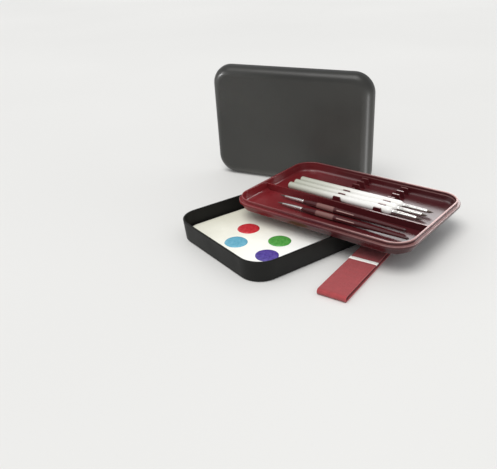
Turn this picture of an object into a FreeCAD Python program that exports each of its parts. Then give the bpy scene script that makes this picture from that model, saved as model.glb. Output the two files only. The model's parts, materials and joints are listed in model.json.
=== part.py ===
import FreeCAD, Part
import math
import os
import Sketcher

# A wet palette for miniature painting, opened and laid out on a table: base tray with foam, sheet
# and paint, brush tray lying across the base tray's rim, lid standing on its long side behind them,
# and the elastic strap that holds the box shut. Millimetres. The origin is the middle of the base
# tray's underside, with its long side along X, its short side along Y and +Z up.

document = FreeCAD.newDocument("wet_palette")

# Driving dimensions, in millimetres and degrees, each with what it sizes.
SIZES = {
    # the box outline that the base tray, the brush tray's flange and the lid share
    "box_length": 218.0,
    "box_width": 152.0,
    "box_corner": 26.0,
    # base tray
    "base_height": 24.0,
    "base_wall": 2.2,
    "base_floor": 2.0,
    "base_draft": 2.5,
    "base_foot_round": 2.0,
    "base_inner_round": 2.4,
    "rim_round": 0.7,
    # foam, sheet and paint
    "foam_length": 204.0,
    "foam_width": 138.0,
    "foam_corner": 19.0,
    "foam_thick": 6.0,
    "foam_round": 1.0,
    "sheet_length": 202.0,
    "sheet_width": 136.0,
    "sheet_corner": 16.0,
    "sheet_thick": 0.3,
    "rest_gap": 0.15,
    "dab_radius": 12.8,
    "dab_height": 1.0,
    # brush tray: nesting body, flange, lip
    "tray_height": 14.0,
    "tray_floor": 2.0,
    "body_height": 7.0,
    "body_inset": 3.4,
    "body_draft": 1.2,
    "flange_height": 3.2,
    "lip_inset": 3.0,
    "lip_wall": 1.8,
    "bowl_draft": 1.2,
    "bowl_round": 4.0,
    "tray_edge_round": 0.7,
    "tray_foot_round": 1.6,
    "root": 0.5,
    # brush tray: divider and brush-rest fins
    "divider_y": -11.0,
    "divider_thick": 1.8,
    "divider_top": 9.8,
    "divider_bite": 0.3,
    "fin_count": 7,
    "fin_pitch": 11.0,
    "fin_thick": 1.8,
    "fin_foot": 13.0,
    "fin_crest": 8.4,
    "fin_top": 10.0,
    "fin_row_left": -14.0,
    "fin_row_right": 37.5,
    # lid
    "lid_height": 16.0,
    "lid_wall": 2.0,
    "lid_draft_angle": 3.0,
    "lid_shoulder": 13.0,
    # elastic strap and its label
    "strap_length": 126.0,
    "strap_width": 30.0,
    "strap_thick": 1.4,
    "strap_loft": 6.6,
    "strap_fold_flat": 0.1,
    "label_width": 5.2,
    "label_length": 30.4,
    "label_thick": 0.4,
    "label_corner": 0.6,
    "label_place": 72.5,
    # thick white-handled brushes
    "thick_handle": 136.0,
    "thick_radius": 4.4,
    "thick_shoulder": 4.5,
    "thick_end_bevel": 0.4,
    "thick_ferrule": 28.0,
    "thick_ferrule_radius": 2.3,
    "thick_ferrule_straight": 12.0,
    "thick_tuft": 7.0,
    # thin dark brushes
    "thin_handle": 128.0,
    "thin_radius": 3.2,
    "thin_end_radius": 1.4,
    "thin_ferrule": 26.0,
    "thin_ferrule_radius": 1.9,
    "thin_ferrule_straight": 9.0,
    "thin_mouth_radius": 1.2,
    "thin_tuft": 8.0,
    # radius of a tuft's point
    "tuft_point": 0.15,
    # where the loose pieces lie
    "tray_x": 53.1,
    "tray_y": -33.7,
    "tray_turn": -74.8,
    "lid_x": 102.0,
    "lid_y": 121.4,
    "lid_turn": -60.8,
    "strap_x": -64.5,
    "strap_y": -134.5,
    "strap_turn": 20.3,
}

sheet = document.addObject("Spreadsheet::Sheet", "sizes")
for row, (alias, number) in enumerate(SIZES.items(), start=1):
    sheet.set(f"A{row}", alias)
    sheet.set(f"B{row}", str(number))
    sheet.setAlias(f"B{row}", alias)
document.recompute()


def value(expression):
    """The number that an expression on the sheet gives."""
    return float(sheet.evalExpression(expression.replace("sizes.", "")))


def new_body(name):
    body = document.addObject("PartDesign::Body", name)
    body.Label = name
    return body


def origin_feature(body, role):
    return next(feature for feature in body.Origin.OriginFeatures if feature.Role == role)


def new_sketch(body, name, plane="XY_Plane", x="0", y="0", z="0"):
    """A sketch on one of the body's own origin planes, moved in that plane's axes."""
    sketch = body.newObject("Sketcher::SketchObject", name)
    sketch.AttachmentSupport = [(origin_feature(body, plane), "")]
    sketch.MapMode = "FlatFace"
    for axis, expression in (("x", x), ("y", y), ("z", z)):
        if expression != "0":
            sketch.setExpression(f"AttachmentOffset.Base.{axis}", expression)
    return sketch


def bind(sketch, constraint, expression):
    """Adds a dimension to a sketch and ties it to the sheet."""
    index = sketch.addConstraint(constraint)
    sketch.setExpression(f"Constraints[{index}]", expression)


def rounded_outline(sketch, length, width, radius):
    """A rounded rectangle about the sketch's origin."""
    first = sketch.GeometryCount
    half_x = value(length) / 2
    half_y = value(width) / 2
    corner = value(radius)
    centre_x = half_x - corner
    centre_y = half_y - corner
    vector = FreeCAD.Vector
    normal = vector(0, 0, 1)
    lines = [
        (vector(centre_x, half_y, 0), vector(-centre_x, half_y, 0)),
        (vector(-half_x, centre_y, 0), vector(-half_x, -centre_y, 0)),
        (vector(-centre_x, -half_y, 0), vector(centre_x, -half_y, 0)),
        (vector(half_x, -centre_y, 0), vector(half_x, centre_y, 0)),
    ]
    for start, end in lines:
        sketch.addGeometry(Part.LineSegment(start, end), False)
    centres = [(centre_x, centre_y), (-centre_x, centre_y), (-centre_x, -centre_y), (centre_x, -centre_y)]
    for quarter, (x, y) in enumerate(centres):
        circle = Part.Circle(vector(x, y, 0), normal, corner)
        start = quarter * math.pi / 2
        sketch.addGeometry(Part.ArcOfCircle(circle, start, start + math.pi / 2), False)
    for side in range(4):
        line = first + side
        arc = first + 4 + side
        next_arc = first + 4 + (side + 1) % 4
        sketch.addConstraint(Sketcher.Constraint("Tangent", arc, 2, line, 1))
        sketch.addConstraint(Sketcher.Constraint("Tangent", line, 2, next_arc, 1))
        direction = "Horizontal" if side % 2 == 0 else "Vertical"
        sketch.addConstraint(Sketcher.Constraint(direction, line))
    for other in range(1, 4):
        sketch.addConstraint(Sketcher.Constraint("Equal", first + 4, first + 4 + other))
    sketch.addConstraint(Sketcher.Constraint("Symmetric", first + 4, 3, first + 6, 3, -1, 1))
    bind(sketch, Sketcher.Constraint("DistanceX", first + 1, 1, first + 3, 1, 2 * half_x), length)
    bind(sketch, Sketcher.Constraint("DistanceY", first + 2, 1, first, 1, 2 * half_y), width)
    bind(sketch, Sketcher.Constraint("Radius", first + 4, corner), radius)


def polygon(sketch, corners):
    """A closed outline of straight sides whose corners are expressions, none of them negative."""
    numbers = [FreeCAD.Vector(value(x), value(y), 0) for x, y in corners]
    count = len(corners)
    for index, start in enumerate(numbers):
        sketch.addGeometry(Part.LineSegment(start, numbers[(index + 1) % count]), False)
    for index, (x, y) in enumerate(corners):
        sketch.addConstraint(Sketcher.Constraint("Coincident", index, 2, (index + 1) % count, 1))
        for kind, expression, number, axis in (
            ("DistanceX", x, numbers[index].x, -2),
            ("DistanceY", y, numbers[index].y, -1),
        ):
            if expression == "0":
                sketch.addConstraint(Sketcher.Constraint("PointOnObject", index, 1, axis))
            else:
                bind(sketch, Sketcher.Constraint(kind, -1, 1, index, 1, number), expression)


def pad(body, sketch, length, taper="0", both_ways=False, downwards=False):
    feature = body.newObject("PartDesign::Pad", f"{sketch.Name}_pad")
    feature.Profile = sketch
    feature.Midplane = both_ways
    feature.Reversed = downwards
    feature.setExpression("Length", length)
    if taper != "0":
        feature.setExpression("TaperAngle", taper)
    document.recompute()
    return feature


def pocket(body, sketch, depth, taper="0", upwards=False):
    """A pocket, with a test that it took material away."""
    before = body.Shape.Volume
    feature = body.newObject("PartDesign::Pocket", f"{sketch.Name}_pocket")
    feature.Profile = sketch
    feature.Reversed = upwards
    feature.setExpression("Length", depth)
    if taper != "0":
        feature.setExpression("TaperAngle", taper)
    document.recompute()
    assert body.Shape.Volume < before - 1.0, f"{feature.Name} cut nothing"
    return feature


def fillet(body, radius, wanted):
    """Rounds the edges of the body's last feature for which wanted(bounding box) is true."""
    tip = body.Tip
    names = [
        f"Edge{number}"
        for number, edge in enumerate(tip.Shape.Edges, start=1)
        if wanted(edge.BoundBox)
    ]
    assert names, f"no edge to round on {body.Name}"
    feature = body.newObject("PartDesign::Fillet", f"{body.Name}_round_{len(body.Group)}")
    feature.Base = (tip, names)
    feature.setExpression("Radius", radius)
    document.recompute()
    return feature


def flat_at(height):
    """Picks the edges that lie level at one height."""

    def wanted(box):
        return abs(box.ZMin - height) < 0.02 and abs(box.ZMax - height) < 0.02

    return wanted


def outermost_at(height):
    """Picks the level edges at one height that lie on the box outline."""
    level = flat_at(height)
    widest = value("sizes.box_width / 2")
    longest = value("sizes.box_length / 2")

    def wanted(box):
        reach_x = max(abs(box.XMin), abs(box.XMax))
        reach_y = max(abs(box.YMin), abs(box.YMax))
        return level(box) and (abs(reach_y - widest) < 0.05 or abs(reach_x - longest) < 0.05)

    return wanted


def revolve(body, sketch):
    feature = body.newObject("PartDesign::Revolution", f"{sketch.Name}_turned")
    feature.Profile = sketch
    feature.ReferenceAxis = (sketch, ["H_Axis"])
    feature.Angle = 360.0
    document.recompute()
    return feature


# Base tray ------------------------------------------------------------------------------------


def make_base_tray():
    body = new_body("base_tray")
    height = value("sizes.base_height")
    draft_angle = "atan(sizes.base_draft / sizes.base_height)"
    outline = new_sketch(body, "base_outline", z="sizes.base_height")
    rounded_outline(outline, "sizes.box_length", "sizes.box_width", "sizes.box_corner")
    pad(body, outline, "sizes.base_height", f"-{draft_angle}", downwards=True)
    inside = new_sketch(body, "base_inside", z="sizes.base_height")
    rounded_outline(
        inside,
        "sizes.box_length - 2 * sizes.base_wall",
        "sizes.box_width - 2 * sizes.base_wall",
        "sizes.box_corner - sizes.base_wall",
    )
    pocket(body, inside, "sizes.base_height - sizes.base_floor", f"-{draft_angle}")
    fillet(body, "sizes.base_foot_round", flat_at(0.0))
    fillet(body, "sizes.base_inner_round", flat_at(value("sizes.base_floor")))
    fillet(body, "sizes.rim_round", flat_at(height))
    return body


# Foam, sheet and paint ------------------------------------------------------------------------


def make_foam():
    body = new_body("hydro_foam")
    outline = new_sketch(body, "foam_outline")
    rounded_outline(outline, "sizes.foam_length", "sizes.foam_width", "sizes.foam_corner")
    pad(body, outline, "sizes.foam_thick")
    fillet(body, "sizes.foam_round", flat_at(value("sizes.foam_thick")))
    fillet(body, "sizes.foam_round", flat_at(0.0))
    body.setExpression("Placement.Base.z", "sizes.base_floor + sizes.rest_gap")
    return body


SHEET_LEVEL = "sizes.base_floor + sizes.foam_thick + 2 * sizes.rest_gap"
PAINT_LEVEL = f"{SHEET_LEVEL} + sizes.sheet_thick"

# The middle of each dab on the sheet.
DABS = {
    "paint_red": (-46.2, 20.4),
    "paint_blue": (-75.7, 2.9),
    "paint_green": (-38.2, -25.6),
    "paint_violet": (-68.2, -42.1),
}


def make_sheet():
    body = new_body("palette_sheet")
    outline = new_sketch(body, "sheet_outline")
    rounded_outline(outline, "sizes.sheet_length", "sizes.sheet_width", "sizes.sheet_corner")
    pad(body, outline, "sizes.sheet_thick")
    body.setExpression("Placement.Base.z", SHEET_LEVEL)
    return body


def make_dab(name, x, y):
    """A flat dome of paint, turned about its own upright axis."""
    body = new_body(name)
    half_section = new_sketch(body, f"{name}_section", "XZ_Plane")
    polygon(
        half_section,
        [
            ("0", "0"),
            ("sizes.dab_radius", "0"),
            ("sizes.dab_radius * 0.97", "sizes.dab_height * 0.5"),
            ("sizes.dab_radius * 0.8", "sizes.dab_height * 0.9"),
            ("0", "sizes.dab_height"),
        ],
    )
    dome = body.newObject("PartDesign::Revolution", f"{name}_dome")
    dome.Profile = half_section
    dome.ReferenceAxis = (half_section, ["V_Axis"])
    dome.Angle = 360.0
    body.Placement.Base = FreeCAD.Vector(x, y, 0)
    body.setExpression("Placement.Base.z", PAINT_LEVEL)
    document.recompute()
    return body


# Brush tray -----------------------------------------------------------------------------------


def inset_outline(sketch, inset):
    """The box outline moved inwards all round."""
    rounded_outline(
        sketch,
        f"sizes.box_length - 2 * ({inset})",
        f"sizes.box_width - 2 * ({inset})",
        f"sizes.box_corner - ({inset})",
    )


def make_fin_row(body, name, middle):
    """One row of brush-rest fins, from the near side of the rear compartment to its back wall."""
    section = new_sketch(
        body,
        name,
        "XZ_Plane",
        x=f"{middle} - sizes.fin_foot / 2",
        y="sizes.tray_floor - sizes.root",
    )
    slope = "(sizes.fin_foot - sizes.fin_crest) / 2"
    rise = "sizes.fin_top - sizes.tray_floor + sizes.root"
    polygon(
        section,
        [("0", "0"), ("sizes.fin_foot", "0"), (f"sizes.fin_foot - {slope}", rise), (slope, rise)],
    )
    fin = pad(body, section, "sizes.fin_thick", both_ways=True)
    row = body.newObject("PartDesign::LinearPattern", f"{name}_row")
    row.Originals = [fin]
    row.Direction = (origin_feature(body, "Y_Axis"), [""])
    row.setExpression("Length", "sizes.fin_pitch * (sizes.fin_count - 1)")
    row.setExpression("Occurrences", "sizes.fin_count")
    body.Tip = row
    document.recompute()


def make_divider(body):
    """The wall along the tray that parts the deep rear compartment from the front one."""
    length = "2 * (sizes.box_length / 2 - sizes.lip_inset - sizes.lip_wall + sizes.divider_bite)"
    outline = new_sketch(
        body,
        "divider_outline",
        x=f"-({length}) / 2",
        y="sizes.divider_y - sizes.divider_thick / 2",
        z="sizes.tray_floor - sizes.root",
    )
    thick = "sizes.divider_thick"
    polygon(outline, [("0", "0"), (length, "0"), (length, thick), ("0", thick)])
    pad(body, outline, "sizes.divider_top - sizes.tray_floor + sizes.root")


def make_brush_tray():
    body = new_body("brush_tray")
    nest = new_sketch(body, "nest_outline", z="sizes.body_height")
    inset_outline(nest, "sizes.body_inset")
    nest_angle = "atan(sizes.body_draft / sizes.body_height)"
    pad(body, nest, "sizes.body_height", f"-{nest_angle}", downwards=True)
    fillet(body, "sizes.tray_foot_round", flat_at(0.0))
    flange_top = "sizes.body_height + sizes.flange_height"
    flange = new_sketch(body, "flange_outline", z="sizes.body_height")
    inset_outline(flange, "0")
    pad(body, flange, "sizes.flange_height")
    lip = new_sketch(body, "lip_outline", z=flange_top)
    inset_outline(lip, "sizes.lip_inset")
    pad(body, lip, f"sizes.tray_height - ({flange_top})")
    bowl = new_sketch(body, "bowl_outline", z="sizes.tray_height")
    inset_outline(bowl, "sizes.lip_inset + sizes.lip_wall")
    depth = "sizes.tray_height - sizes.tray_floor"
    pocket(body, bowl, depth, f"-atan(sizes.bowl_draft / ({depth}))")
    fillet(body, "sizes.bowl_round", flat_at(value("sizes.tray_floor")))
    fillet(body, "sizes.tray_edge_round", flat_at(value("sizes.tray_height")))
    for height in ("sizes.body_height", flange_top):
        fillet(body, "sizes.tray_edge_round", outermost_at(value(height)))
    make_divider(body)
    make_fin_row(body, "fin_left", "sizes.fin_row_left")
    make_fin_row(body, "fin_right", "sizes.fin_row_right")
    body.Placement = tray_placement()
    return body


def tray_placement():
    """The brush tray lies level on the base tray's rim, turned across it."""
    level = value("sizes.base_height + sizes.rest_gap")
    place = FreeCAD.Vector(value("sizes.tray_x"), value("sizes.tray_y"), level)
    return FreeCAD.Placement(place, FreeCAD.Rotation(FreeCAD.Vector(0, 0, 1), value("sizes.tray_turn")))


# Lid ------------------------------------------------------------------------------------------


def make_lid():
    body = new_body("lid")
    outline = new_sketch(body, "lid_outline")
    inset_outline(outline, "0")
    pad(body, outline, "sizes.lid_height", "-sizes.lid_draft_angle")
    inside = new_sketch(body, "lid_inside")
    inset_outline(inside, "sizes.lid_wall")
    depth = "sizes.lid_height - sizes.lid_wall"
    pocket(body, inside, depth, "-sizes.lid_draft_angle", upwards=True)
    fillet(body, "sizes.lid_shoulder - sizes.lid_wall", flat_at(value(depth)))
    fillet(body, "sizes.lid_shoulder", flat_at(value("sizes.lid_height")))
    fillet(body, "sizes.rim_round", flat_at(0.0))
    body.Placement = lid_placement()
    return body


def lid_placement():
    """The lid stands on the flat of its long side wall, its outside face to the front."""
    upright = FreeCAD.Rotation(FreeCAD.Vector(1, 0, 0), 90.0 + value("sizes.lid_draft_angle"))
    turn = FreeCAD.Rotation(FreeCAD.Vector(0, 0, 1), value("sizes.lid_turn"))
    lift = value("sizes.box_width") / 2 * math.cos(math.radians(value("sizes.lid_draft_angle")))
    place = FreeCAD.Vector(value("sizes.lid_x"), value("sizes.lid_y"), lift)
    return FreeCAD.Placement(place, turn.multiply(upright))


# Strap ----------------------------------------------------------------------------------------


def strap_placement(along, level):
    """A place on the strap's middle line, measured from its near fold."""
    turn = FreeCAD.Rotation(FreeCAD.Vector(0, 0, 1), value("sizes.strap_turn"))
    start = FreeCAD.Vector(value("sizes.strap_x"), value("sizes.strap_y"), level)
    return FreeCAD.Placement(start + turn.multVec(FreeCAD.Vector(along, 0, 0)), turn)


def make_strap():
    """A closed loop of elastic lying on its side: two layers joined by a fold at each end."""
    body = new_body("elastic_strap")
    section = new_sketch(body, "strap_section", "XZ_Plane")
    outer_round = "(sizes.strap_loft / 2 - sizes.strap_fold_flat)"
    rounded_outline(section, "sizes.strap_length", "sizes.strap_loft", outer_round)
    rounded_outline(
        section,
        "sizes.strap_length - 2 * sizes.strap_thick",
        "sizes.strap_loft - 2 * sizes.strap_thick",
        f"{outer_round} - sizes.strap_thick",
    )
    pad(body, section, "sizes.strap_width", both_ways=True)
    body.Placement = strap_placement(value("sizes.strap_length") / 2, value("sizes.strap_loft") / 2)
    return body


def make_label():
    body = new_body("strap_label")
    outline = new_sketch(body, "label_outline")
    rounded_outline(outline, "sizes.label_width", "sizes.label_length", "sizes.label_corner")
    pad(body, outline, "sizes.label_thick")
    body.Placement = strap_placement(value("sizes.label_place"), value("sizes.strap_loft"))
    return body


# Brushes --------------------------------------------------------------------------------------


def turned_piece(name, stations):
    """A piece turned about its long axis through (distance, radius) stations."""
    body = new_body(name)
    half_section = new_sketch(body, f"{name}_section", "XZ_Plane")
    first = stations[0][0]
    last = stations[-1][0]
    polygon(half_section, [(first, "0"), *stations, (last, "0")])
    revolve(body, half_section)
    return body


def make_thick_brush(number):
    ferrule_start = "sizes.thick_handle"
    tuft_start = f"{ferrule_start} + sizes.thick_ferrule"
    handle = turned_piece(
        f"thick_brush_{number}_handle",
        [
            ("0", "sizes.thick_radius - sizes.thick_end_bevel"),
            ("2 * sizes.thick_end_bevel", "sizes.thick_radius"),
            ("sizes.thick_handle - sizes.thick_shoulder", "sizes.thick_radius"),
            ("sizes.thick_handle - sizes.thick_shoulder / 3", "sizes.thick_radius * 0.8"),
            (ferrule_start, "sizes.thick_ferrule_radius"),
        ],
    )
    ferrule = turned_piece(
        f"thick_brush_{number}_ferrule",
        [
            (ferrule_start, "sizes.thick_ferrule_radius"),
            (f"{ferrule_start} + sizes.thick_ferrule_straight", "sizes.thick_ferrule_radius"),
            (tuft_start, "sizes.thick_ferrule_radius * 0.8"),
        ],
    )
    tuft = turned_piece(
        f"thick_brush_{number}_tuft",
        [
            (tuft_start, "sizes.thick_ferrule_radius * 0.7"),
            (f"{tuft_start} + sizes.thick_tuft * 0.4", "sizes.thick_ferrule_radius * 0.75"),
            (f"{tuft_start} + sizes.thick_tuft * 0.8", "sizes.thick_ferrule_radius * 0.4"),
            (f"{tuft_start} + sizes.thick_tuft", "sizes.tuft_point"),
        ],
    )
    return [handle, ferrule, tuft]


def make_thin_brush(number):
    ferrule_start = "sizes.thin_handle"
    tuft_start = f"{ferrule_start} + sizes.thin_ferrule"
    handle = turned_piece(
        f"thin_brush_{number}_handle",
        [
            ("0", "sizes.thin_end_radius * 0.5"),
            ("sizes.thin_end_radius * 0.7", "sizes.thin_end_radius"),
            ("sizes.thin_handle * 0.4", "sizes.thin_radius * 0.75"),
            ("sizes.thin_handle * 0.66", "sizes.thin_radius"),
            ("sizes.thin_handle * 0.88", "sizes.thin_radius * 0.95"),
            (ferrule_start, "sizes.thin_ferrule_radius"),
        ],
    )
    ferrule = turned_piece(
        f"thin_brush_{number}_ferrule",
        [
            (ferrule_start, "sizes.thin_ferrule_radius"),
            (f"{ferrule_start} + sizes.thin_ferrule_straight", "sizes.thin_ferrule_radius"),
            (tuft_start, "sizes.thin_mouth_radius"),
        ],
    )
    tuft = turned_piece(
        f"thin_brush_{number}_tuft",
        [
            (tuft_start, "sizes.thin_mouth_radius * 0.9"),
            (f"{tuft_start} + sizes.thin_tuft * 0.3", "sizes.thin_mouth_radius"),
            (f"{tuft_start} + sizes.thin_tuft * 0.75", "sizes.thin_mouth_radius * 0.45"),
            (f"{tuft_start} + sizes.thin_tuft", "sizes.tuft_point"),
        ],
    )
    return [handle, ferrule, tuft]


def lay_brush(pieces, end_x, y, radius, turn):
    """Lays a brush on the tray's floor, its handle's end at end_x in the tray's own axes."""
    level = value("sizes.tray_floor + sizes.rest_gap") + radius
    local = FreeCAD.Placement(
        FreeCAD.Vector(end_x, y, level), FreeCAD.Rotation(FreeCAD.Vector(0, 0, 1), turn)
    )
    for piece in pieces:
        piece.Placement = tray_placement().multiply(local)


# Handle end and distance from the tray's long middle line, then the turn of the brush's axis.
THICK_BRUSHES = [(-83.0, 0.5, 0.0), (-82.0, 1.5, 0.0), (-80.5, 2.5, 0.0)]
THIN_BRUSHES = [(84.5, -25.0, 179.2), (94.5, -40.5, 180.4)]


def make_brushes():
    made = []
    for number, (end_x, slot, turn) in enumerate(THICK_BRUSHES, start=1):
        pieces = make_thick_brush(number)
        lay_brush(pieces, end_x, slot * value("sizes.fin_pitch"), value("sizes.thick_radius"), turn)
        made += pieces
    for number, (end_x, y, turn) in enumerate(THIN_BRUSHES, start=1):
        pieces = make_thin_brush(number)
        lay_brush(pieces, end_x, y, value("sizes.thin_radius"), turn)
        made += pieces
    return made


# Build, test and write --------------------------------------------------------------------------

parts = [make_base_tray(), make_foam(), make_sheet()]
parts += [make_dab(name, x, y) for name, (x, y) in DABS.items()]
parts += [make_brush_tray(), make_lid(), make_strap(), make_label()]
parts += make_brushes()

document.recompute()
for item in document.Objects:
    assert not {"Invalid", "Error"} & set(item.State), f"{item.Name} failed: {item.State}"
for part in parts:
    assert not part.Shape.isNull() and part.Shape.isValid(), f"{part.Label} has no good shape"
    assert len(part.Shape.Solids) == 1, f"{part.Label} isn't one solid"

os.makedirs("parts", exist_ok=True)
for part in parts:
    part.Shape.exportStep(os.path.join("parts", f"{part.Label}.step"))
    box = part.Shape.BoundBox
    print(f"{part.Label}: {box.XLength:.1f} x {box.YLength:.1f} x {box.ZLength:.1f} mm")
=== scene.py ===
import json
import math
import random

import bpy
from mathutils import Matrix, Vector, noise

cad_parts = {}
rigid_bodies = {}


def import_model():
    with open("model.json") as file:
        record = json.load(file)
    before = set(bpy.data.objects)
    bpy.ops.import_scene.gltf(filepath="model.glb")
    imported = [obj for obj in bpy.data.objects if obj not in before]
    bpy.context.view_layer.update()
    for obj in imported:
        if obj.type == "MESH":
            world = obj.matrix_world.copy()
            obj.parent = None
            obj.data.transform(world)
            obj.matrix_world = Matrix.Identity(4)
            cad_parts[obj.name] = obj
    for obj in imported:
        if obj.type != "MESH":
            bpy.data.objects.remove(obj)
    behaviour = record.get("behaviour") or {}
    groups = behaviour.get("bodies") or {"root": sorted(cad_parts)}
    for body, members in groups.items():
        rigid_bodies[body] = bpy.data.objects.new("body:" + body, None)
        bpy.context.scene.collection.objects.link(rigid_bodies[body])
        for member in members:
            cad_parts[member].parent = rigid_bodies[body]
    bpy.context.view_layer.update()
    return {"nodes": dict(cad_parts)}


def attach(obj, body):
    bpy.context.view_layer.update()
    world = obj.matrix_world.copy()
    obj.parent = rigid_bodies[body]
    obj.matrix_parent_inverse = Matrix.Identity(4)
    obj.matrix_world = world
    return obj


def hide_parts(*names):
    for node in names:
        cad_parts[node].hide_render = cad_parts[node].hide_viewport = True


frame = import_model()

# The looks of a wet palette laid open on a table. The pieces are given in millimetres and made in
# metres.

MM = 0.001


def placed(x, y, z, turn):
    """A place in the row frame, turned about the upright axis."""
    return Matrix.Translation(Vector((x, y, z)) * MM) @ Matrix.Rotation(math.radians(turn), 4, "Z")


TRAY = placed(53.1, -33.7, 24.15, -74.8)
TRAY_FLOOR = 2.15
STRAP = placed(-64.5, -134.5, 0.0, 20.3)


# Camera and light --------------------------------------------------------------------------------

VIEW_AZIMUTH = -34.97
VIEW_DOWN = 27.07
VIEW_ROLL = -2.315
VIEW_LENS = 44.27
EYE = Vector((-0.4000, -0.4847, 0.3164))


def add_camera():
    data = bpy.data.cameras.new("camera")
    data.lens = VIEW_LENS
    data.sensor_width = 36.0
    data.clip_start = 0.01
    data.clip_end = 50.0
    camera = bpy.data.objects.new("camera", data)
    bpy.context.scene.collection.objects.link(camera)
    aimed = Matrix.Rotation(math.radians(VIEW_AZIMUTH), 4, "Z")
    aimed = aimed @ Matrix.Rotation(math.radians(90.0 - VIEW_DOWN), 4, "X")
    aimed = aimed @ Matrix.Rotation(math.radians(VIEW_ROLL), 4, "Z")
    camera.matrix_world = Matrix.Translation(EYE) @ aimed
    bpy.context.scene.camera = camera


def add_light(name, place, target, size, power, lit, blockers=None, spread=180.0):
    """A soft panel that lights only the pieces in lit and leaves the floor evenly lit.

    Only the blockers shade it, or every piece when none are given. The spread is in degrees.
    """
    data = bpy.data.lights.new(name, "AREA")
    data.shape = "RECTANGLE"
    data.size, data.size_y = size
    data.energy = power
    data.spread = math.radians(spread)
    light = bpy.data.objects.new(name, data)
    bpy.context.scene.collection.objects.link(light)
    light.location = place
    towards = Vector(target) - Vector(place)
    light.rotation_euler = towards.to_track_quat("-Z", "Y").to_euler()
    light.visible_camera = False
    light.light_linking.receiver_collection = lit
    if blockers is not None:
        light.light_linking.blocker_collection = blockers


def lit_group(name, *starts):
    """The pieces that one panel lights, by the starts of their names."""
    group = bpy.data.collections.new(name)
    for item in bpy.context.scene.objects:
        if item.type == "MESH" and item.name.startswith(starts):
            group.objects.link(item)
    return group


def add_panels():
    """Panels for the lid's shoulders, the shine on the brush tray and a fill on the sheet."""
    lid = lit_group("lit_lid", "lid")
    tray = lit_group("lit_tray", "brush_tray")
    tubes = ("thin_brush_1_tube", "thin_brush_2_tube")
    bright = lit_group("lit_bright", "brush_tray", "thick_brush", *tubes)
    soft = lit_group("lit_soft", "parchment", "paint", "elastic", "label")
    # The lid's right shoulder mirrors the bright table in front of it, and the foot of its face is
    # lit from the table too, so these two panels stand below the floor.
    shoulder, foot = (0.155, 0.03, 0.10), (0.14, 0.05, 0.04)
    add_light("right_band", (0.16, -0.84, -0.34), shoulder, (0.26, 0.50), 6.0, lid, lid)
    add_light("lid_foot", (0.02, -0.10, -0.25), foot, (0.20, 0.20), 2.0, lid, lid)
    # A narrow beam on the lid's top left corner.
    corner, beam = (0.041, 0.205, 0.132), (0.06, 0.06)
    add_light("corner_spot", (-0.90, 0.66, 0.36), corner, beam, 0.011, lid, spread=6.0)
    # The brush tray's right front corner, its middle and its left end.
    lip, bowl, left_end = (0.08, -0.137, 0.038), (0.06, -0.08, 0.03), (0.02, 0.06, 0.03)
    add_light("back_shine", (0.98, 0.50, 0.52), bowl, (0.60, 0.50), 3.2, bright)
    add_light("lip_line_right", (1.01, -0.33, 0.36), lip, (0.25, 0.30), 2.6, tray)
    add_light("lip_line_front", (0.18, -0.63, 0.78), lip, (0.35, 0.35), 2.5, tray)
    add_light("left_glow", (-0.30, 0.34, 0.34), left_end, (0.50, 0.50), 1.6, tray)
    add_light("front_fill", (-0.40, -0.55, 0.60), (-0.05, -0.06, 0.01), (0.40, 0.40), 2.2, soft)


def add_sky_light():
    """A very soft high light, the same all over the floor."""
    data = bpy.data.lights.new("overhead", "SUN")
    data.energy = 1.7
    data.angle = math.radians(38.0)
    data.color = (1.0, 0.99, 0.97)
    light = bpy.data.objects.new("overhead", data)
    bpy.context.scene.collection.objects.link(light)
    light.rotation_euler = Vector((0.42, 0.12, -1.0)).to_track_quat("-Z", "Y").to_euler()


# Node materials ----------------------------------------------------------------------------------

BLACK, WHITE = (0.0, 0.0, 0.0), (1.0, 1.0, 1.0)
BASE_GLOSS = {"Specular IOR Level": 0.20}
LID_GLOSS = {"Specular IOR Level": 0.25, "Coat Weight": 0.45, "Coat Roughness": 0.30}
# The lip's and the flange's upper edges over the table. Each has a strip of painted
# highlight that starts a little below it.
LIP_TOP, FLANGE_TOP = 0.03815, 0.03435
HIGHLIGHT_STRIP = 0.0010
LIP_HIGHLIGHT, FLANGE_HIGHLIGHT = LIP_TOP - 0.0009, FLANGE_TOP - 0.0006
# The line printed on a dark handle, in radians round its barrel from the handle's Y.
PRINT_ANGLE, PRINT_HALF_WIDTH = 0.6, 0.16


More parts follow.
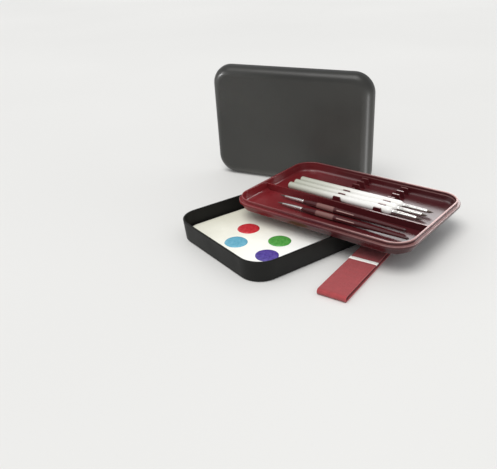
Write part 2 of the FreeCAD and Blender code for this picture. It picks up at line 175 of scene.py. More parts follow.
class Look:
    """A procedural material on a Principled surface, in the object's own coordinates."""

    def __init__(self, name, colour, roughness, sockets=None, uv=False):
        self.data = bpy.data.materials.new(name)
        self.data.use_nodes = True
        self.nodes = self.data.node_tree.nodes
        self.surface = self.nodes["Principled BSDF"]
        self.surface.inputs["Base Color"].default_value = (*colour, 1.0)
        self.surface.inputs["Roughness"].default_value = roughness
        for socket, setting in (sockets or {}).items():
            self.surface.inputs[socket].default_value = setting
        self.colour = colour
        self.height = None
        where = self.nodes.new("ShaderNodeTexCoord")
        self.where = where.outputs["UV" if uv else "Object"]

    def add(self, kind, settings=None, links=None):
        """A node with its properties or unlinked inputs set, and its other inputs linked."""
        made = self.nodes.new(kind)
        for key, setting in (settings or {}).items():
            if key in made.inputs:
                made.inputs[key].default_value = setting
            else:
                setattr(made, key, setting)
        for key, source in (links or {}).items():
            self.data.node_tree.links.new(source, made.inputs[key])
        return made

    def link(self, source, socket):
        self.data.node_tree.links.new(source, self.surface.inputs[socket])

    def noise(self, scale, detail=2.0, stretch=(1.0, 1.0, 1.0), rough=0.5):
        """Noise with about scale blotches a metre, stretched along the object's axes."""
        mapped = self.add("ShaderNodeMapping", {"Scale": stretch}, {"Vector": self.where})
        made = self.add(
            "ShaderNodeTexNoise",
            {"Scale": scale, "Detail": detail, "Roughness": rough},
            {"Vector": mapped.outputs["Vector"]},
        )
        return made.outputs["Fac"]

    def bands(self, period, direction):
        """A sine of that period in metres along one axis."""
        made = self.add(
            "ShaderNodeTexWave",
            {"Scale": math.pi / 10.0 / period, "bands_direction": direction, "wave_profile": "SIN"},
            {"Vector": self.where},
        )
        return made.outputs["Fac"]

    def ramp(self, source, stops):
        """Turns a number into a colour through (place, colour) stops."""
        made = self.add("ShaderNodeValToRGB", links={"Fac": source})
        elements = made.color_ramp.elements
        while len(elements) < len(stops):
            elements.new(1.0)
        for element, (place, colour) in zip(elements, stops):
            element.position = place
            element.color = (*colour, 1.0)
        return made.outputs["Color"]

    def range(self, source, low, high, from_low=0.3, from_high=0.7):
        """Maps the middle of a noise to a range of numbers."""
        made = self.add(
            "ShaderNodeMapRange",
            {"From Min": from_low, "From Max": from_high, "To Min": low, "To Max": high},
            {"Value": source},
        )
        return made.outputs["Result"]

    def maths(self, operation, first, second):
        made = self.add("ShaderNodeMath", {"operation": operation})
        for index, part in enumerate((first, second)):
            if isinstance(part, (int, float)):
                made.inputs[index].default_value = part
            else:
                self.data.node_tree.links.new(part, made.inputs[index])
        return made.outputs["Value"]

    def mix(self, blend, factor, first, second):
        """Two colours mixed; each input is a socket or a plain setting."""
        made = self.add("ShaderNodeMix", {"data_type": "RGBA", "blend_type": blend})
        for index, part in ((0, factor), (6, first), (7, second)):
            if isinstance(part, float):
                made.inputs[index].default_value = part
            elif isinstance(part, tuple):
                made.inputs[index].default_value = (*part, 1.0)
            else:
                self.data.node_tree.links.new(part, made.inputs[index])
        return made.outputs[2]

    def shade(self, source, low, high):
        """The base colour made darker and lighter by a number from about 0.3 to 0.7."""
        dark = tuple(part * low for part in self.colour)
        light = tuple(min(part * high, 1.0) for part in self.colour)
        colour = self.ramp(source, [(0.3, dark), (0.7, light)])
        self.link(colour, "Base Color")
        return colour

    def rough(self, source, low, high):
        self.link(self.range(source, low, high), "Roughness")

    def bump(self, source, depth, strength=1.0):
        """Adds relief of that depth in metres on top of any already there."""
        links = {"Height": source}
        if self.height is not None:
            links["Normal"] = self.height
        made = self.add("ShaderNodeBump", {"Strength": strength, "Distance": depth}, links)
        self.height = made.outputs["Normal"]
        self.link(self.height, "Normal")


def moulded_black(name, colour, roughness, settings):
    """Matt moulded plastic with a fine spark texture and a roughness that varies a little."""
    look = Look(name, colour, roughness, settings)
    look.shade(look.noise(14.0, 3.0), 0.88, 1.15)
    look.rough(look.noise(35.0, 4.0), roughness - 0.05, roughness + 0.06)
    look.bump(look.noise(2600.0, 2.0), 0.00006, 0.4)
    look.bump(look.noise(60.0, 2.0), 0.00010, 0.08)
    return look.data


def moulded_burgundy():
    """Glossy moulded plastic, with painted light brighter at one end and painted lip highlights."""
    settings = {"Coat Weight": 0.45, "Coat Roughness": 0.20, "Specular IOR Level": 0.25}
    look = Look("moulded_burgundy", (0.085, 0.008, 0.010), 0.3, settings)
    split = look.add("ShaderNodeSeparateXYZ", links={"Vector": look.where}).outputs
    # Across the table from the tray's front right corner to its back left one.
    back, right = look.maths("MULTIPLY", split["Y"], 0.80), look.maths("MULTIPLY", split["X"], 0.60)
    across = look.maths("SUBTRACT", back, right)
    place = look.range(across, 0.0, 1.0, -0.155, 0.085)
    # Painted light and shade: darker at the front right end, brighter at the back left.
    dark, middle, bright = (0.046, 0.006, 0.008), (0.066, 0.008, 0.010), (0.20, 0.014, 0.018)
    body = look.ramp(place, [(0.0, dark), (0.45, middle), (1.0, bright)])
    mottle = look.ramp(look.noise(18.0, 3.0), [(0.3, (0.86, 0.86, 0.86)), (0.7, WHITE)])
    body = look.mix("MULTIPLY", 0.7, body, mottle)
    # Painted highlight: paler lip top and flange edge, most at the tray's front right end.
    highlight_reach = look.range(across, 0.85, 0.03, -0.155, -0.025)
    highlight_mottle = look.maths("ADD", look.maths("MULTIPLY", look.noise(160.0, 4.0), 0.5), 0.6)
    for low, share in ((LIP_HIGHLIGHT, 1.0), (FLANGE_HIGHLIGHT, 0.45)):
        edge = look.maths("COMPARE", split["Z"], low + HIGHLIGHT_STRIP / 2)
        edge.node.inputs[2].default_value = HIGHLIGHT_STRIP / 2
        edge = look.maths("MULTIPLY", edge, highlight_reach)
        amount = look.maths("MULTIPLY", edge, look.maths("MULTIPLY", highlight_mottle, share))
        body = look.mix("MIX", amount, body, (0.55, 0.32, 0.30))
    look.link(body, "Base Color")
    look.rough(look.noise(45.0, 4.0), 0.26, 0.36)
    look.bump(look.noise(3200.0, 2.0), 0.00002, 0.25)
    return look.data


def foam_look():
    look = Look("wet_foam", (0.80, 0.78, 0.68), 0.75)
    look.shade(look.noise(260.0, 4.0), 0.82, 1.1)
    settings = {"Scale": 1400.0, "feature": "DISTANCE_TO_EDGE"}
    cells = look.add("ShaderNodeTexVoronoi", settings, {"Vector": look.where})
    look.bump(cells.outputs["Distance"], 0.0004, 0.8)
    return look.data


def parchment_look():
    """Damp baking parchment, whiter at the front and greyed towards the back by painted shade."""
    settings = {"Sheen Weight": 0.05, "Specular IOR Level": 0.4}
    look = Look("parchment", (0.86, 0.85, 0.79), 0.5, settings)
    split = look.add("ShaderNodeSeparateXYZ", links={"Vector": look.where}).outputs
    # Painted shade: greyer and yellower towards the back edge, wandering a little.
    across = look.maths("ADD", split["Y"], look.maths("MULTIPLY", split["X"], 0.12))
    patches = look.noise(24.0, 4.0, stretch=(1.0, 1.9, 1.0), rough=0.55)
    wander = look.maths("MULTIPLY", patches, 0.042)
    painted_shade = look.range(look.maths("ADD", across, wander), 0.0, 1.0, -0.040, 0.090)
    stops = [(0.0, (0.94, 0.94, 0.92)), (0.45, (0.90, 0.89, 0.80)), (1.0, (0.68, 0.67, 0.56))]
    tone = look.ramp(painted_shade, stops)
    speckle = look.noise(60.0, 5.0, rough=0.6)
    mottle = look.ramp(speckle, [(0.3, (0.93, 0.93, 0.92)), (0.7, WHITE)])
    look.link(look.mix("MULTIPLY", 0.6, tone, mottle), "Base Color")
    look.rough(look.noise(40.0, 4.0), 0.34, 0.62)
    look.bump(look.noise(700.0, 4.0, stretch=(1.0, 2.6, 1.0)), 0.00006, 0.5)
    look.bump(look.noise(46.0, 3.0, stretch=(1.0, 1.8, 1.0)), 0.0012, 0.4)
    return look.data


def paint_look(name, colour, light):
    """Wet acrylic: streaks of a lighter mix and a glossy skin."""
    settings = {"Coat Weight": 0.35, "Coat Roughness": 0.12, "Specular IOR Level": 0.5}
    look = Look(name, colour, 0.25, settings)
    swirl = look.add(
        "ShaderNodeTexNoise",
        {"Scale": 130.0, "Detail": 4.0, "Distortion": 1.6},
        {"Vector": look.where},
    )
    colours = look.ramp(swirl.outputs["Fac"], [(0.35, colour), (0.72, light)])
    look.link(colours, "Base Color")
    look.bump(swirl.outputs["Fac"], 0.0003, 0.35)
    return look.data


def elastic_look():
    """Red woven elastic: ribs along the band, crossed by finer picks. X runs along the band."""
    settings = {"Sheen Weight": 0.2, "Sheen Roughness": 0.5}
    look = Look("woven_elastic", (0.37, 0.042, 0.048), 0.8, settings, uv=True)
    ribs = look.bands(0.0011, "Y")
    picks = look.bands(0.0007, "X")
    weave = look.maths("MULTIPLY", ribs, look.maths("ADD", look.maths("MULTIPLY", picks, 0.5), 0.5))
    fuzz = look.maths("MULTIPLY", look.noise(220.0, 3.0), 0.4)
    shade = look.maths("ADD", look.maths("MULTIPLY", weave, 0.6), fuzz)
    look.shade(shade, 0.62, 1.22)
    look.bump(weave, 0.00022, 0.9)
    look.bump(look.noise(1600.0, 2.0), 0.0001, 0.3)
    return look.data


def label_look():
    look = Look("woven_label", (0.95, 0.94, 0.90), 0.75, {"Sheen Weight": 0.2})
    warp = look.bands(0.00035, "X")
    weft = look.bands(0.00035, "Y")
    weave = look.maths("MULTIPLY", warp, weft)
    look.shade(look.noise(300.0, 3.0), 0.93, 1.05)
    look.bump(weave, 0.00008, 0.6)
    return look.data


def white_handle_look():
    """White lacquer, with painted shade: darker and yellower towards the handle's end."""
    settings = {"Coat Weight": 0.5, "Coat Roughness": 0.1}
    look = Look("white_lacquer", (0.84, 0.83, 0.76), 0.3, settings)
    along = look.add("ShaderNodeSeparateXYZ", links={"Vector": look.where}).outputs["X"]
    place = look.range(along, 0.0, 1.0, 0.0, THICK_HANDLE * MM)
    # Painted shade: darker towards the handle's end, white towards the ferrule.
    stops = [(0.0, (0.46, 0.47, 0.39)), (0.30, (0.64, 0.64, 0.57)), (0.62, (0.93, 0.92, 0.89))]
    grain = look.noise(60.0, 4.0, stretch=(0.15, 1.0, 1.0))
    streaks = look.ramp(grain, [(0.3, (0.94, 0.94, 0.93)), (0.7, WHITE)])
    look.link(look.mix("MULTIPLY", 0.7, look.ramp(place, stops), streaks), "Base Color")
    look.rough(look.noise(90.0, 3.0, stretch=(0.2, 1.0, 1.0)), 0.24, 0.38)
    look.bump(look.noise(700.0, 3.0, stretch=(0.06, 1.0, 1.0)), 0.00004, 0.35)
    return look.data


def dark_handle_look():
    """Dark varnish over a burgundy stain, with a broad dull band and a fine pale line along it."""
    settings = {"Coat Weight": 0.35, "Coat Roughness": 0.12, "Specular IOR Level": 0.3}
    look = Look("dark_lacquer", (0.060, 0.010, 0.012), 0.26, settings)
    grain = look.noise(500.0, 4.0, stretch=(0.05, 1.0, 1.0))
    split = look.add("ShaderNodeSeparateXYZ", links={"Vector": look.where}).outputs
    place = look.range(split["X"], 0.0, 1.0, 0.0, THIN_HANDLE * MM)
    dark = (0.040, 0.008, 0.010)
    body = (0.072, 0.012, 0.014)
    dull = (0.24, 0.115, 0.105)
    stops = [(0.0, dark), (0.05, body), (0.672, body), (0.680, dull), (0.845, dull), (0.853, body)]
    bands = look.ramp(place, stops)
    # The line runs along the barrel's upper front quarter.
    lengthwise = look.ramp(place, [(0.472, BLACK), (0.478, WHITE), (0.640, WHITE), (0.646, BLACK)])
    angle = look.maths("ARCTAN2", split["Z"], split["Y"])
    off_line = look.maths("ABSOLUTE", look.maths("SUBTRACT", angle, PRINT_ANGLE), 0.0)
    around = look.maths("LESS_THAN", off_line, PRINT_HALF_WIDTH)
    printed = look.maths("MULTIPLY", lengthwise, around)
    lined = look.mix("MIX", printed, bands, (0.48, 0.30, 0.27))
    tone = look.ramp(grain, [(0.3, (0.75, 0.72, 0.72)), (0.7, WHITE)])
    look.link(look.mix("MULTIPLY", 0.55, lined, tone), "Base Color")
    look.bump(grain, 0.00003, 0.3)
    return look.data


def ferrule_look():
    look = Look("ferrule_metal", (0.78, 0.77, 0.74), 0.22, {"Metallic": 1.0})
    look.shade(look.noise(220.0, 3.0, stretch=(0.3, 1.0, 1.0)), 0.86, 1.08)
    look.rough(look.noise(400.0, 3.0, stretch=(0.08, 1.0, 1.0)), 0.16, 0.34)
    look.bump(look.noise(1500.0, 2.0, stretch=(0.04, 1.0, 1.0)), 0.00002, 0.3)
    return look.data


def hair_look():
    look = Look("brush_hair", (0.065, 0.040, 0.030), 0.45, {"Sheen Weight": 0.3})
    look.shade(look.noise(4000.0, 2.0, stretch=(0.03, 1.0, 1.0)), 0.5, 1.8)
    look.bump(look.noise(5000.0, 2.0, stretch=(0.02, 1.0, 1.0)), 0.00008, 0.8)
    return look.data


def floor_look():
    look = Look("pale_floor", (0.80, 0.795, 0.78), 0.65, {"Specular IOR Level": 0.25})
    look.shade(look.noise(1.3, 2.0), 0.98, 1.02)
    look.bump(look.noise(900.0, 2.0), 0.00003, 0.2)
    return look.data


# Mesh makers -------------------------------------------------------------------------------------


def add_object(name, points, faces, material, place=None, uv=None):
    """An object from points in millimetres in its own axes, smooth but for its sharp corners."""
    mesh = bpy.data.meshes.new(name)
    mesh.from_pydata([Vector(point) * MM for point in points], [], faces)
    mesh.polygons.foreach_set("use_smooth", [True] * len(mesh.polygons))
    mesh.set_sharp_from_angle(angle=math.radians(42.0))
    if uv is not None:
        layer = mesh.uv_layers.new(name="UVMap")
        for loop in mesh.loops:
            layer.data[loop.index].uv = uv[loop.vertex_index]
    mesh.materials.append(material)
    made = bpy.data.objects.new(name, mesh)
    bpy.context.scene.collection.objects.link(made)
    if place is not None:
        made.matrix_world = place
    return made


def finish_piece(piece, body, node):
    """The piece rides on its body and stands for its CAD node."""
    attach(piece, body)
    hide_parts(node)


def join_rings(rings, count, closed=True):
    """Faces between rings of count points, numbered ring by ring."""
    faces = []
    last = count if closed else count - 1
    for ring in range(rings - 1):
        for index in range(last):
            following = (index + 1) % count
            low = ring * count
            high = low + count
            faces.append((low + index, low + following, high + following, high + index))
    return faces


def turned(stations, sides=40):
    """Points and faces of a solid turned about X through (x, radius) stations."""
    points = []
    for x, radius in stations:
        for side in range(sides):
            angle = 2 * math.pi * side / sides
            points.append((x, radius * math.cos(angle), radius * math.sin(angle)))
    faces = join_rings(len(stations), sides)
    faces.append(tuple(range(sides - 1, -1, -1)))
    last = (len(stations) - 1) * sides
    faces.append(tuple(range(last, last + sides)))
    return points, faces


def smooth_stations(stations, steps=6):
    """The same stations with a smooth curve through them."""
    fine = []
    for index in range(len(stations) - 1):
        before = stations[max(index - 1, 0)]
        start = stations[index]
        end = stations[index + 1]
        after = stations[min(index + 2, len(stations) - 1)]
        for step in range(steps):
            t = step / steps
            rise_in = (end[1] - before[1]) / (end[0] - before[0]) * (end[0] - start[0])
            rise_out = (after[1] - start[1]) / (after[0] - start[0]) * (end[0] - start[0])
            h00 = 2 * t**3 - 3 * t**2 + 1
            h10 = t**3 - 2 * t**2 + t
            h01 = 3 * t**2 - 2 * t**3
            h11 = t**3 - t**2
            radius = h00 * start[1] + h10 * rise_in + h01 * end[1] + h11 * rise_out
            fine.append((start[0] + (end[0] - start[0]) * t, radius))
    fine.append(stations[-1])
    return fine


def rounded_grid(half_x, half_y, corner, step, height):
    """A grid over a rounded rectangle, with the height given by a function of x and y."""
    centre_x = half_x - corner
    stations = []
    count = round(2 * centre_x / step)
    turn_steps = max(6, round(corner * math.pi / 2 / step))
    for index in range(turn_steps, 0, -1):
        stations.append(-centre_x - corner * math.sin(math.pi / 2 * index / turn_steps))
    for index in range(count + 1):
        stations.append(-centre_x + 2 * centre_x * index / count)
    for index in range(1, turn_steps + 1):
        stations.append(centre_x + corner * math.sin(math.pi / 2 * index / turn_steps))
    rows = round(2 * half_y / step)
    points = []
    for x in stations:
        beyond = max(abs(x) - centre_x, 0.0)
        reach = half_y - corner + math.sqrt(max(corner**2 - beyond**2, 0.0))
        for row in range(rows + 1):
            y = reach * (2 * row / rows - 1)
            points.append((x, y, height(x, y)))
    faces = []
    width = rows + 1
    for column in range(len(stations) - 1):
        for row in range(rows):
            low = column * width + row
            faces.append((low, low + width, low + width + 1, low + 1))
    return points, faces


def outline(half_x, half_y, corner, steps=14):
    """Points round a rounded rectangle, anticlockwise, with the straight sides divided too."""
    points = []
    centres = [(1, 1), (-1, 1), (-1, -1), (1, -1)]
    for quarter, (side_x, side_y) in enumerate(centres):
        centre = Vector((side_x * (half_x - corner), side_y * (half_y - corner)))
        for step in range(steps + 1):
            angle = (quarter + step / steps) * math.pi / 2
            points.append(centre + corner * Vector((math.cos(angle), math.sin(angle))))
    dense = []
    for index, start in enumerate(points):
        end = points[(index + 1) % len(points)]
        parts = max(1, round((end - start).length / 6.0))
        for part in range(parts):
            dense.append(start.lerp(end, part / parts))
    return dense


# Pieces ------------------------------------------------------------------------------------------

FOAM_HALF_X, FOAM_HALF_Y, FOAM_CORNER, FOAM_BOTTOM = 101.9, 68.9, 18.9, 2.15
# Half of the foam's section, from its foot round the edge and in over the top: inset and rise.
FOAM_SECTION = [
    (1.1, 0.0),
    (0.45, 0.15),
    (0.1, 0.6),
    (0.0, 1.6),
    (0.15, 3.0),
    (0.0, 4.4),
    (0.1, 5.3),
    (0.5, 5.8),
    (1.2, 5.98),
    (3.0, 6.0),
    (12.0, 5.97),
    (30.0, 5.95),
    (55.0, 5.95),
]


def make_foam(material):
    """The wet foam: a slab with eased edges and a slightly uneven skin."""
    points = []
    for inset, rise in FOAM_SECTION:
        corner = max(FOAM_CORNER - inset, 1.0)
        for spot in outline(FOAM_HALF_X - inset, FOAM_HALF_Y - inset, corner):
            uneven = noise.noise(Vector((spot.x * 0.12, spot.y * 0.12, rise)))
            push = 1.0 - 0.0018 * uneven
            points.append((spot.x * push, spot.y * push, FOAM_BOTTOM + rise))
    count = len(points) // len(FOAM_SECTION)
    faces = join_rings(len(FOAM_SECTION), count)
    faces.append(tuple(range(count - 1, -1, -1)))
    last = (len(FOAM_SECTION) - 1) * count
    faces.append(tuple(range(last, last + count)))
    piece = add_object("foam_pad", points, faces, material)
    finish_piece(piece, "foam", "hydro_foam")


SHEET_HALF_X, SHEET_HALF_Y, SHEET_CORNER = 101.0, 68.0, 16.0
SHEET_GRID, SHEET_THICK, SHEET_LEVEL = 2.2, 0.12, 8.36
# From this share of the way out to its edge, the sheet may curl up.
CURL_FROM = 0.86


def sheet_height(x, y):
    """The damp sheet lies flat, but lifts a little at its edges and cockles between."""
    edge = max(abs(x) / SHEET_HALF_X, abs(y) / SHEET_HALF_Y)
    cockle = noise.noise(Vector((x * 0.03, y * 0.035, 4.0))) * 0.10
    ripple = noise.noise(Vector((x * 0.09, y * 0.08, 9.0))) * 0.05
    curl = max(edge - CURL_FROM, 0.0) / (1.0 - CURL_FROM)
    lift = curl**2 * (0.30 + 0.35 * noise.noise(Vector((x * 0.02, y * 0.02, 1.0))))
    return SHEET_LEVEL + max(cockle + ripple + 0.06, 0.0) + max(lift, 0.0)


def make_palette_sheet(material):
    """The parchment: a thin sheet with rounded corners, thickened upwards."""
    shape = (SHEET_HALF_X, SHEET_HALF_Y, SHEET_CORNER, SHEET_GRID)
    points, faces = rounded_grid(*shape, sheet_height)
    piece = add_object("parchment_sheet", points, faces, material)
    solid = piece.modifiers.new("thickness", "SOLIDIFY")
    solid.thickness = SHEET_THICK * MM
    solid.offset = 1.0
    finish_piece(piece, "sheet", "palette_sheet")


# Each dab's place on the sheet, its colour and the lighter colour streaked through it.
DABS = {
    "paint_red": (-46.2, 20.4, (0.50, 0.022, 0.032), (0.60, 0.050, 0.060)),
    "paint_blue": (-75.7, 2.9, (0.10, 0.36, 0.50), (0.17, 0.46, 0.60)),
    "paint_green": (-38.2, -25.6, (0.060, 0.29, 0.050), (0.12, 0.40, 0.085)),
    "paint_violet": (-68.2, -42.1, (0.050, 0.026, 0.23), (0.10, 0.065, 0.36)),
}
DAB_RADIUS, DAB_HEIGHT, DAB_LEVEL = 12.5, 1.0, 8.62


def make_dab(name, x, y, colour, light, seed):
    """A flat pool of paint with an uneven outline, a full edge and a faint ripple."""
    sides, rings = 96, 18
    points = [(0.0, 0.0, DAB_HEIGHT * 0.86)]
    for ring in range(1, rings + 1):
        share = ring / rings
        share = 1.0 - (1.0 - share) ** 1.6
        for side in range(sides):
            angle = 2 * math.pi * side / sides
            direction = Vector((math.cos(angle), math.sin(angle), 0.0))
            edge = DAB_RADIUS * (1.0 + 0.030 * noise.noise(direction * 1.3 + Vector((seed, 0, 0))))
            edge += 0.16 * noise.noise(direction * 6.0 + Vector((seed, 5, 0)))
            spot = direction * edge * share
            full = (1.0 - share**10) ** 0.5
            ripple = 0.07 * noise.noise(Vector((spot.x * 0.3, spot.y * 0.3, seed)))
            body = DAB_HEIGHT * (0.84 + 0.10 * share**3 + ripple)
            points.append((spot.x, spot.y, max(body * full, 0.0)))
    faces = [(0, 1 + side, 1 + (side + 1) % sides) for side in range(sides)]
    for ring in range(rings - 1):
        low = 1 + ring * sides
        for side in range(sides):
            following = (side + 1) % sides
            faces.append((low + side, low + sides + side, low + sides + following, low + following))
    last = 1 + (rings - 1) * sides
    faces.append(tuple(range(last + sides - 1, last - 1, -1)))
    material = paint_look(f"{name}_wet", colour, light)
    piece = add_object(f"{name}_pool", points, faces, material, placed(x, y, DAB_LEVEL, 0.0))
    finish_piece(piece, "sheet", name)


STRAP_LENGTH, STRAP_WIDTH, STRAP_THICK, STRAP_LOFT = 126.0, 30.0, 1.3, 6.6
# Half the length of the strap's straight layers, and the strap's clearance over the floor.
STRAP_STRAIGHT = STRAP_LENGTH / 2 - STRAP_LOFT / 2
CLEARANCE = 0.02


def strap_sag(share):
    """How far the strap's upper layer sinks at that share of its way back."""
    return 0.55 * math.sin(math.pi * share) ** 2 * (0.7 + 0.3 * math.sin(5.0 * share))


def strap_fold(end, start_angle):
    """The middle line round one fold of the strap, without the layers' ends that it joins."""
    half = (STRAP_LOFT - STRAP_THICK) / 2
    middle = STRAP_THICK / 2 + CLEARANCE + half
    steps = 14
    path = []
    for index in range(1, steps):
        angle = start_angle + math.pi * index / steps
        path.append(Vector((end + half * math.cos(angle), 0.0, middle + half * math.sin(angle))))
    return path


def strap_path():
    """The middle line of the strap's loop: the lower layer, a fold, the upper layer, a fold."""
    low = STRAP_THICK / 2 + CLEARANCE
    high = low + STRAP_LOFT - STRAP_THICK
    steps = 60
    path = []
    for index in range(steps + 1):
        x = -STRAP_STRAIGHT + 2 * STRAP_STRAIGHT * index / steps
        path.append(Vector((x, 0.0, low)))
    path += strap_fold(STRAP_STRAIGHT, -math.pi / 2)
    for index in range(steps + 1):
        share = index / steps
        x = STRAP_STRAIGHT - 2 * STRAP_STRAIGHT * share
        path.append(Vector((x, 0.0, high - strap_sag(share))))
    path += strap_fold(-STRAP_STRAIGHT, math.pi / 2)
    return [point + Vector((STRAP_LENGTH / 2, 0.0, 0.0)) for point in path]


def make_strap(material):
    """Flat woven elastic in a closed loop, with rounded selvedges."""
    path = strap_path()
    count = len(path)
    edge, face, selvedge = STRAP_WIDTH / 2, STRAP_THICK / 2, STRAP_THICK * 0.28
    across = [(edge * (index / 6 - 1) * 0.985, face) for index in range(13)]
    across += [(edge, selvedge), (edge, -selvedge)]
    across += [(edge * (1 - index / 6) * 0.985, -face) for index in range(13)]
    across += [(-edge, -selvedge), (-edge, selvedge)]
    points, uv = [], []
    travelled = 0.0
    for index, middle in enumerate(path):
        before = path[index - 1]
        after = path[(index + 1) % count]
        direction = (after - before).normalized()
        normal = Vector((-direction.z, 0.0, direction.x))
        travelled += (middle - before).length if index else 0.0
        for y, offset in across:
            points.append(middle - normal * offset + Vector((0.0, y, 0.0)))
            uv.append((travelled * MM, y * MM))
    section = len(across)
    faces = []
    for index in range(count):
        low = index * section
        high = ((index + 1) % count) * section
        for side in range(section):
            following = (side + 1) % section
            faces.append((low + side, high + side, high + following, low + following))
    piece = add_object("elastic_loop", points, faces, material, STRAP, uv)
    finish_piece(piece, "strap", "elastic_strap")


LABEL_AT, LABEL_HALF_WIDTH, LABEL_THICK = 72.5, 2.6, 0.35
# One turned-down edge of the label, as Y and Z.
LABEL_EDGE = [(-15.25, -1.0), (-15.32, -0.5), (-15.1, -0.08), (-14.6, 0.02)]


def make_label(material):
    """A white label across the strap's upper layer, turned down at both edges."""
    share = (STRAP_STRAIGHT - (LABEL_AT - STRAP_LENGTH / 2)) / (2 * STRAP_STRAIGHT)
    level = STRAP_LOFT + CLEARANCE - strap_sag(share)
    outer = LABEL_EDGE + [(y, 0.03) for y in (-10.0, -5.0, 0.0, 5.0, 10.0)]
    outer += [(-y, z) for y, z in reversed(LABEL_EDGE)]
    end, inner = LABEL_HALF_WIDTH, LABEL_HALF_WIDTH - 0.25
    lengthwise = [(-end, 0.10), (-inner, 0.0), (0.0, 0.0), (inner, 0.0), (end, 0.10)]
    points = []
    for x, ease in lengthwise:
        for y, z in outer:
            points.append((x, y, z - ease + LABEL_THICK / 2))
    faces = join_rings(len(lengthwise), len(outer), closed=False)
    place = STRAP @ Matrix.Translation(Vector((LABEL_AT, 0.0, level)) * MM)
    piece = add_object("label_band", points, faces, material, place)
    solid = piece.modifiers.new("thickness", "SOLIDIFY")
    solid.thickness = LABEL_THICK * MM
    solid.offset = 0.0
    finish_piece(piece, "strap", "strap_label")


# Where each handle's end lies on the brush tray, and which way the brush points, in degrees.
THICK_BRUSHES = [(-83.0, 5.5, 0.0), (-82.0, 16.5, 0.0), (-80.5, 27.5, 0.0)]
THIN_BRUSHES = [(84.5, -25.0, 179.2), (94.5, -40.5, 180.4)]
THICK_RADIUS, THIN_RADIUS = 4.4, 3.2
THICK_HANDLE, THICK_FERRULE, THICK_TUFT = 136.0, 28.0, 7.0
THIN_HANDLE, THIN_FERRULE, THIN_TUFT = 128.0, 26.0, 8.0


def hair_tuft(start, length, mouth, belly, hairs, seed):
    """A tuft from the ferrule's mouth: a solid core and single hairs drawn together at a point."""
    stations = smooth_stations(
        [
            (start - 1.0, mouth * 0.9),
            (start + length * 0.25, belly * 0.9),
            (start + length * 0.6, belly * 0.55),
            (start + length * 0.85, belly * 0.22),
            (start + length * 0.97, 0.05),
        ]
    )
    points, faces = turned(stations, 24)
    chance = random.Random(seed)
    hair_steps, hair_sides, hair_radius = 6, 3, 0.075
    for _ in range(hairs):
        angle = chance.uniform(0, 2 * math.pi)
        root = mouth * math.sqrt(chance.uniform(0.55, 1.0)) * 0.92
        reach = length * chance.uniform(0.82, 1.0)
        stray = chance.uniform(-0.12, 0.12)
        base = len(points)
        for step in range(hair_steps):
            share = step / (hair_steps - 1)
            swell = 1.0 + 0.10 * math.sin(math.pi * min(share * 1.6, 1.0))
            near = min(share * 3, 1.0)
            spread = root * swell * (1.0 - share**1.7 * 0.93) * (belly / mouth * near + 1.0 - near)
            x = start - 1.0 + share * (reach + 1.0)
            y = spread * math.cos(angle) + stray * share**2
            z = spread * math.sin(angle) + stray * share**2 * 0.6
            thick = hair_radius * (1.0 - 0.8 * share)
            for side in range(hair_sides):
                turn = 2 * math.pi * side / hair_sides
                points.append((x, y + thick * math.cos(turn), z + thick * math.sin(turn)))
        for face in join_rings(hair_steps, hair_sides):
            faces.append(tuple(index + base for index in face))
    return points, faces


def crimped_ferrule(start, length, wide, middle, mouth, straight):
    """A drawn tube with a rolled edge, two crimps that hold it on the handle and an open mouth."""
    groove = wide - 0.28
    stations = [(start - 0.2, wide - 0.05), (start, wide + 0.06)]
    stations += [(start + 0.5, wide + 0.08), (start + 0.9, wide)]
    for crimp in (2.4, 5.0):
        stations += [
            (start + crimp, wide),
            (start + crimp + 0.3, groove),
            (start + crimp + 0.9, groove),
            (start + crimp + 1.2, wide),
        ]
    stations += [(start + straight, wide - 0.03), (start + straight + 4.0, (wide + middle) / 2)]
    end = start + length
    stations += [(end - 4.0, mouth + 0.12), (end - 0.3, mouth)]
    stations += [(end, mouth - 0.06), (end - 0.1, mouth - 0.22), (end - 2.0, mouth - 0.25)]
    return stations


def thick_brush_shapes(seed):
    """Handle, ferrule and tuft of a thick brush along X from its handle's end."""
    handle = [(0.0, 3.55), (0.25, 4.05), (0.8, 4.32), (1.6, 4.4), (30.0, 4.4), (80.0, 4.38)]
    handle += [(128.0, 4.38), (131.0, 4.36), (132.6, 4.12), (134.2, 3.45), (135.4, 2.62)]
    handle += [(136.2, 2.25), (138.0, 2.1)]
    ferrule = crimped_ferrule(THICK_HANDLE, THICK_FERRULE, 2.34, 2.0, 1.84, 12.0)
    tuft = hair_tuft(THICK_HANDLE + THICK_FERRULE, THICK_TUFT, 1.62, 1.72, 70, seed)
    return handle, ferrule, tuft


def thin_brush_shapes(seed):
    """Handle, ferrule and tuft of a thin brush along X from its handle's end."""
    handle = [(0.0, 0.5), (0.6, 1.1), (2.0, 1.45), (18.0, 1.75), (50.0, 2.45), (72.0, 2.95)]
    handle += [(85.0, 3.2), (97.0, 3.2), (112.0, 3.04), (120.5, 2.6), (126.0, 2.0)]
    handle += [(128.4, 1.8), (130.0, 1.7)]
    ferrule = crimped_ferrule(THIN_HANDLE, THIN_FERRULE, 1.94, 1.6, 1.2, 9.0)
    tuft = hair_tuft(THIN_HANDLE + THIN_FERRULE, THIN_TUFT, 1.0, 1.15, 60, seed)
    return handle, ferrule, tuft


def make_brush(name, place, shapes, paint, looks):
    """One brush: a handle in its own paint, a ferrule and a tuft."""
    handle, ferrule, tuft = shapes
    barrel = add_object(f"{name}_barrel", *turned(smooth_stations(handle), 48), paint, place)
    finish_piece(barrel, name, f"{name}_handle")
    tube = add_object(f"{name}_tube", *turned(ferrule, 48), looks["ferrule"], place)
    finish_piece(tube, name, f"{name}_ferrule")
    hair = add_object(f"{name}_hair", *tuft, looks["hair"], place)
    finish_piece(hair, name, f"{name}_tuft")


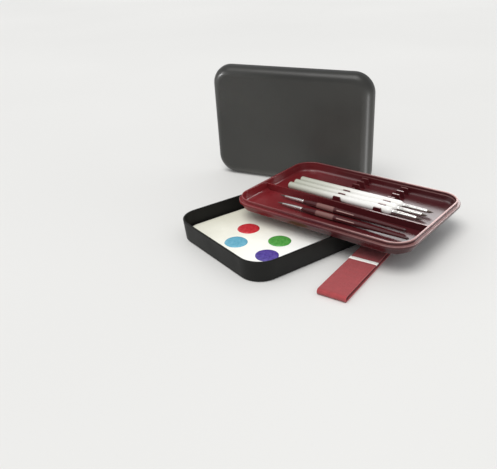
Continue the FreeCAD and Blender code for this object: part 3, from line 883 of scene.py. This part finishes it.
def make_brushes(looks):
    for number, (x, y, turn) in enumerate(THICK_BRUSHES, start=1):
        place = TRAY @ placed(x, y, TRAY_FLOOR + THICK_RADIUS, turn)
        shapes = thick_brush_shapes(number)
        make_brush(f"thick_brush_{number}", place, shapes, looks["white"], looks)
    for number, (x, y, turn) in enumerate(THIN_BRUSHES, start=1):
        place = TRAY @ placed(x, y, TRAY_FLOOR + THIN_RADIUS, turn)
        shapes = thin_brush_shapes(10 + number)
        make_brush(f"thin_brush_{number}", place, shapes, looks["dark"], looks)


# The scene ---------------------------------------------------------------------------------------

FLOOR_REACH = 40000.0


def make_floor():
    points = [(x, y, 0.0) for x in (-FLOOR_REACH, FLOOR_REACH) for y in (-FLOOR_REACH, FLOOR_REACH)]
    floor = add_object("floor", points, [(0, 2, 3, 1)], floor_look())


def set_world():
    world = bpy.data.worlds.new("studio")
    world.use_nodes = True
    background = world.node_tree.nodes["Background"]
    background.inputs["Color"].default_value = (0.97, 0.985, 1.0, 1.0)
    background.inputs["Strength"].default_value = 0.60
    bpy.context.scene.world = world


def dress_cad(node, material):
    """Gives a CAD node its material."""
    mesh = frame["nodes"][node].data
    mesh.materials.clear()
    mesh.materials.append(material)


add_camera()
set_world()
make_floor()
add_sky_light()

# The base is the lid's black plastic, darkened by painted shade.
base_black_painted_shade, lid_black = (0.010, 0.010, 0.009), (0.0170, 0.0166, 0.0145)
dress_cad("base_tray", moulded_black("moulded_black_base", base_black_painted_shade, 0.48, BASE_GLOSS))
dress_cad("lid", moulded_black("moulded_black_lid", lid_black, 0.50, LID_GLOSS))
dress_cad("brush_tray", moulded_burgundy())

make_foam(foam_look())
make_palette_sheet(parchment_look())
for order, (dab, (dab_x, dab_y, dab_colour, dab_light)) in enumerate(DABS.items(), start=1):
    make_dab(dab, dab_x, dab_y, dab_colour, dab_light, float(order * 7))
make_strap(elastic_look())
make_label(label_look())
make_brushes(
    {
        "white": white_handle_look(),
        "dark": dark_handle_look(),
        "ferrule": ferrule_look(),
        "hair": hair_look(),
    }
)

add_panels()
bpy.context.scene.view_settings.view_transform = "Standard"
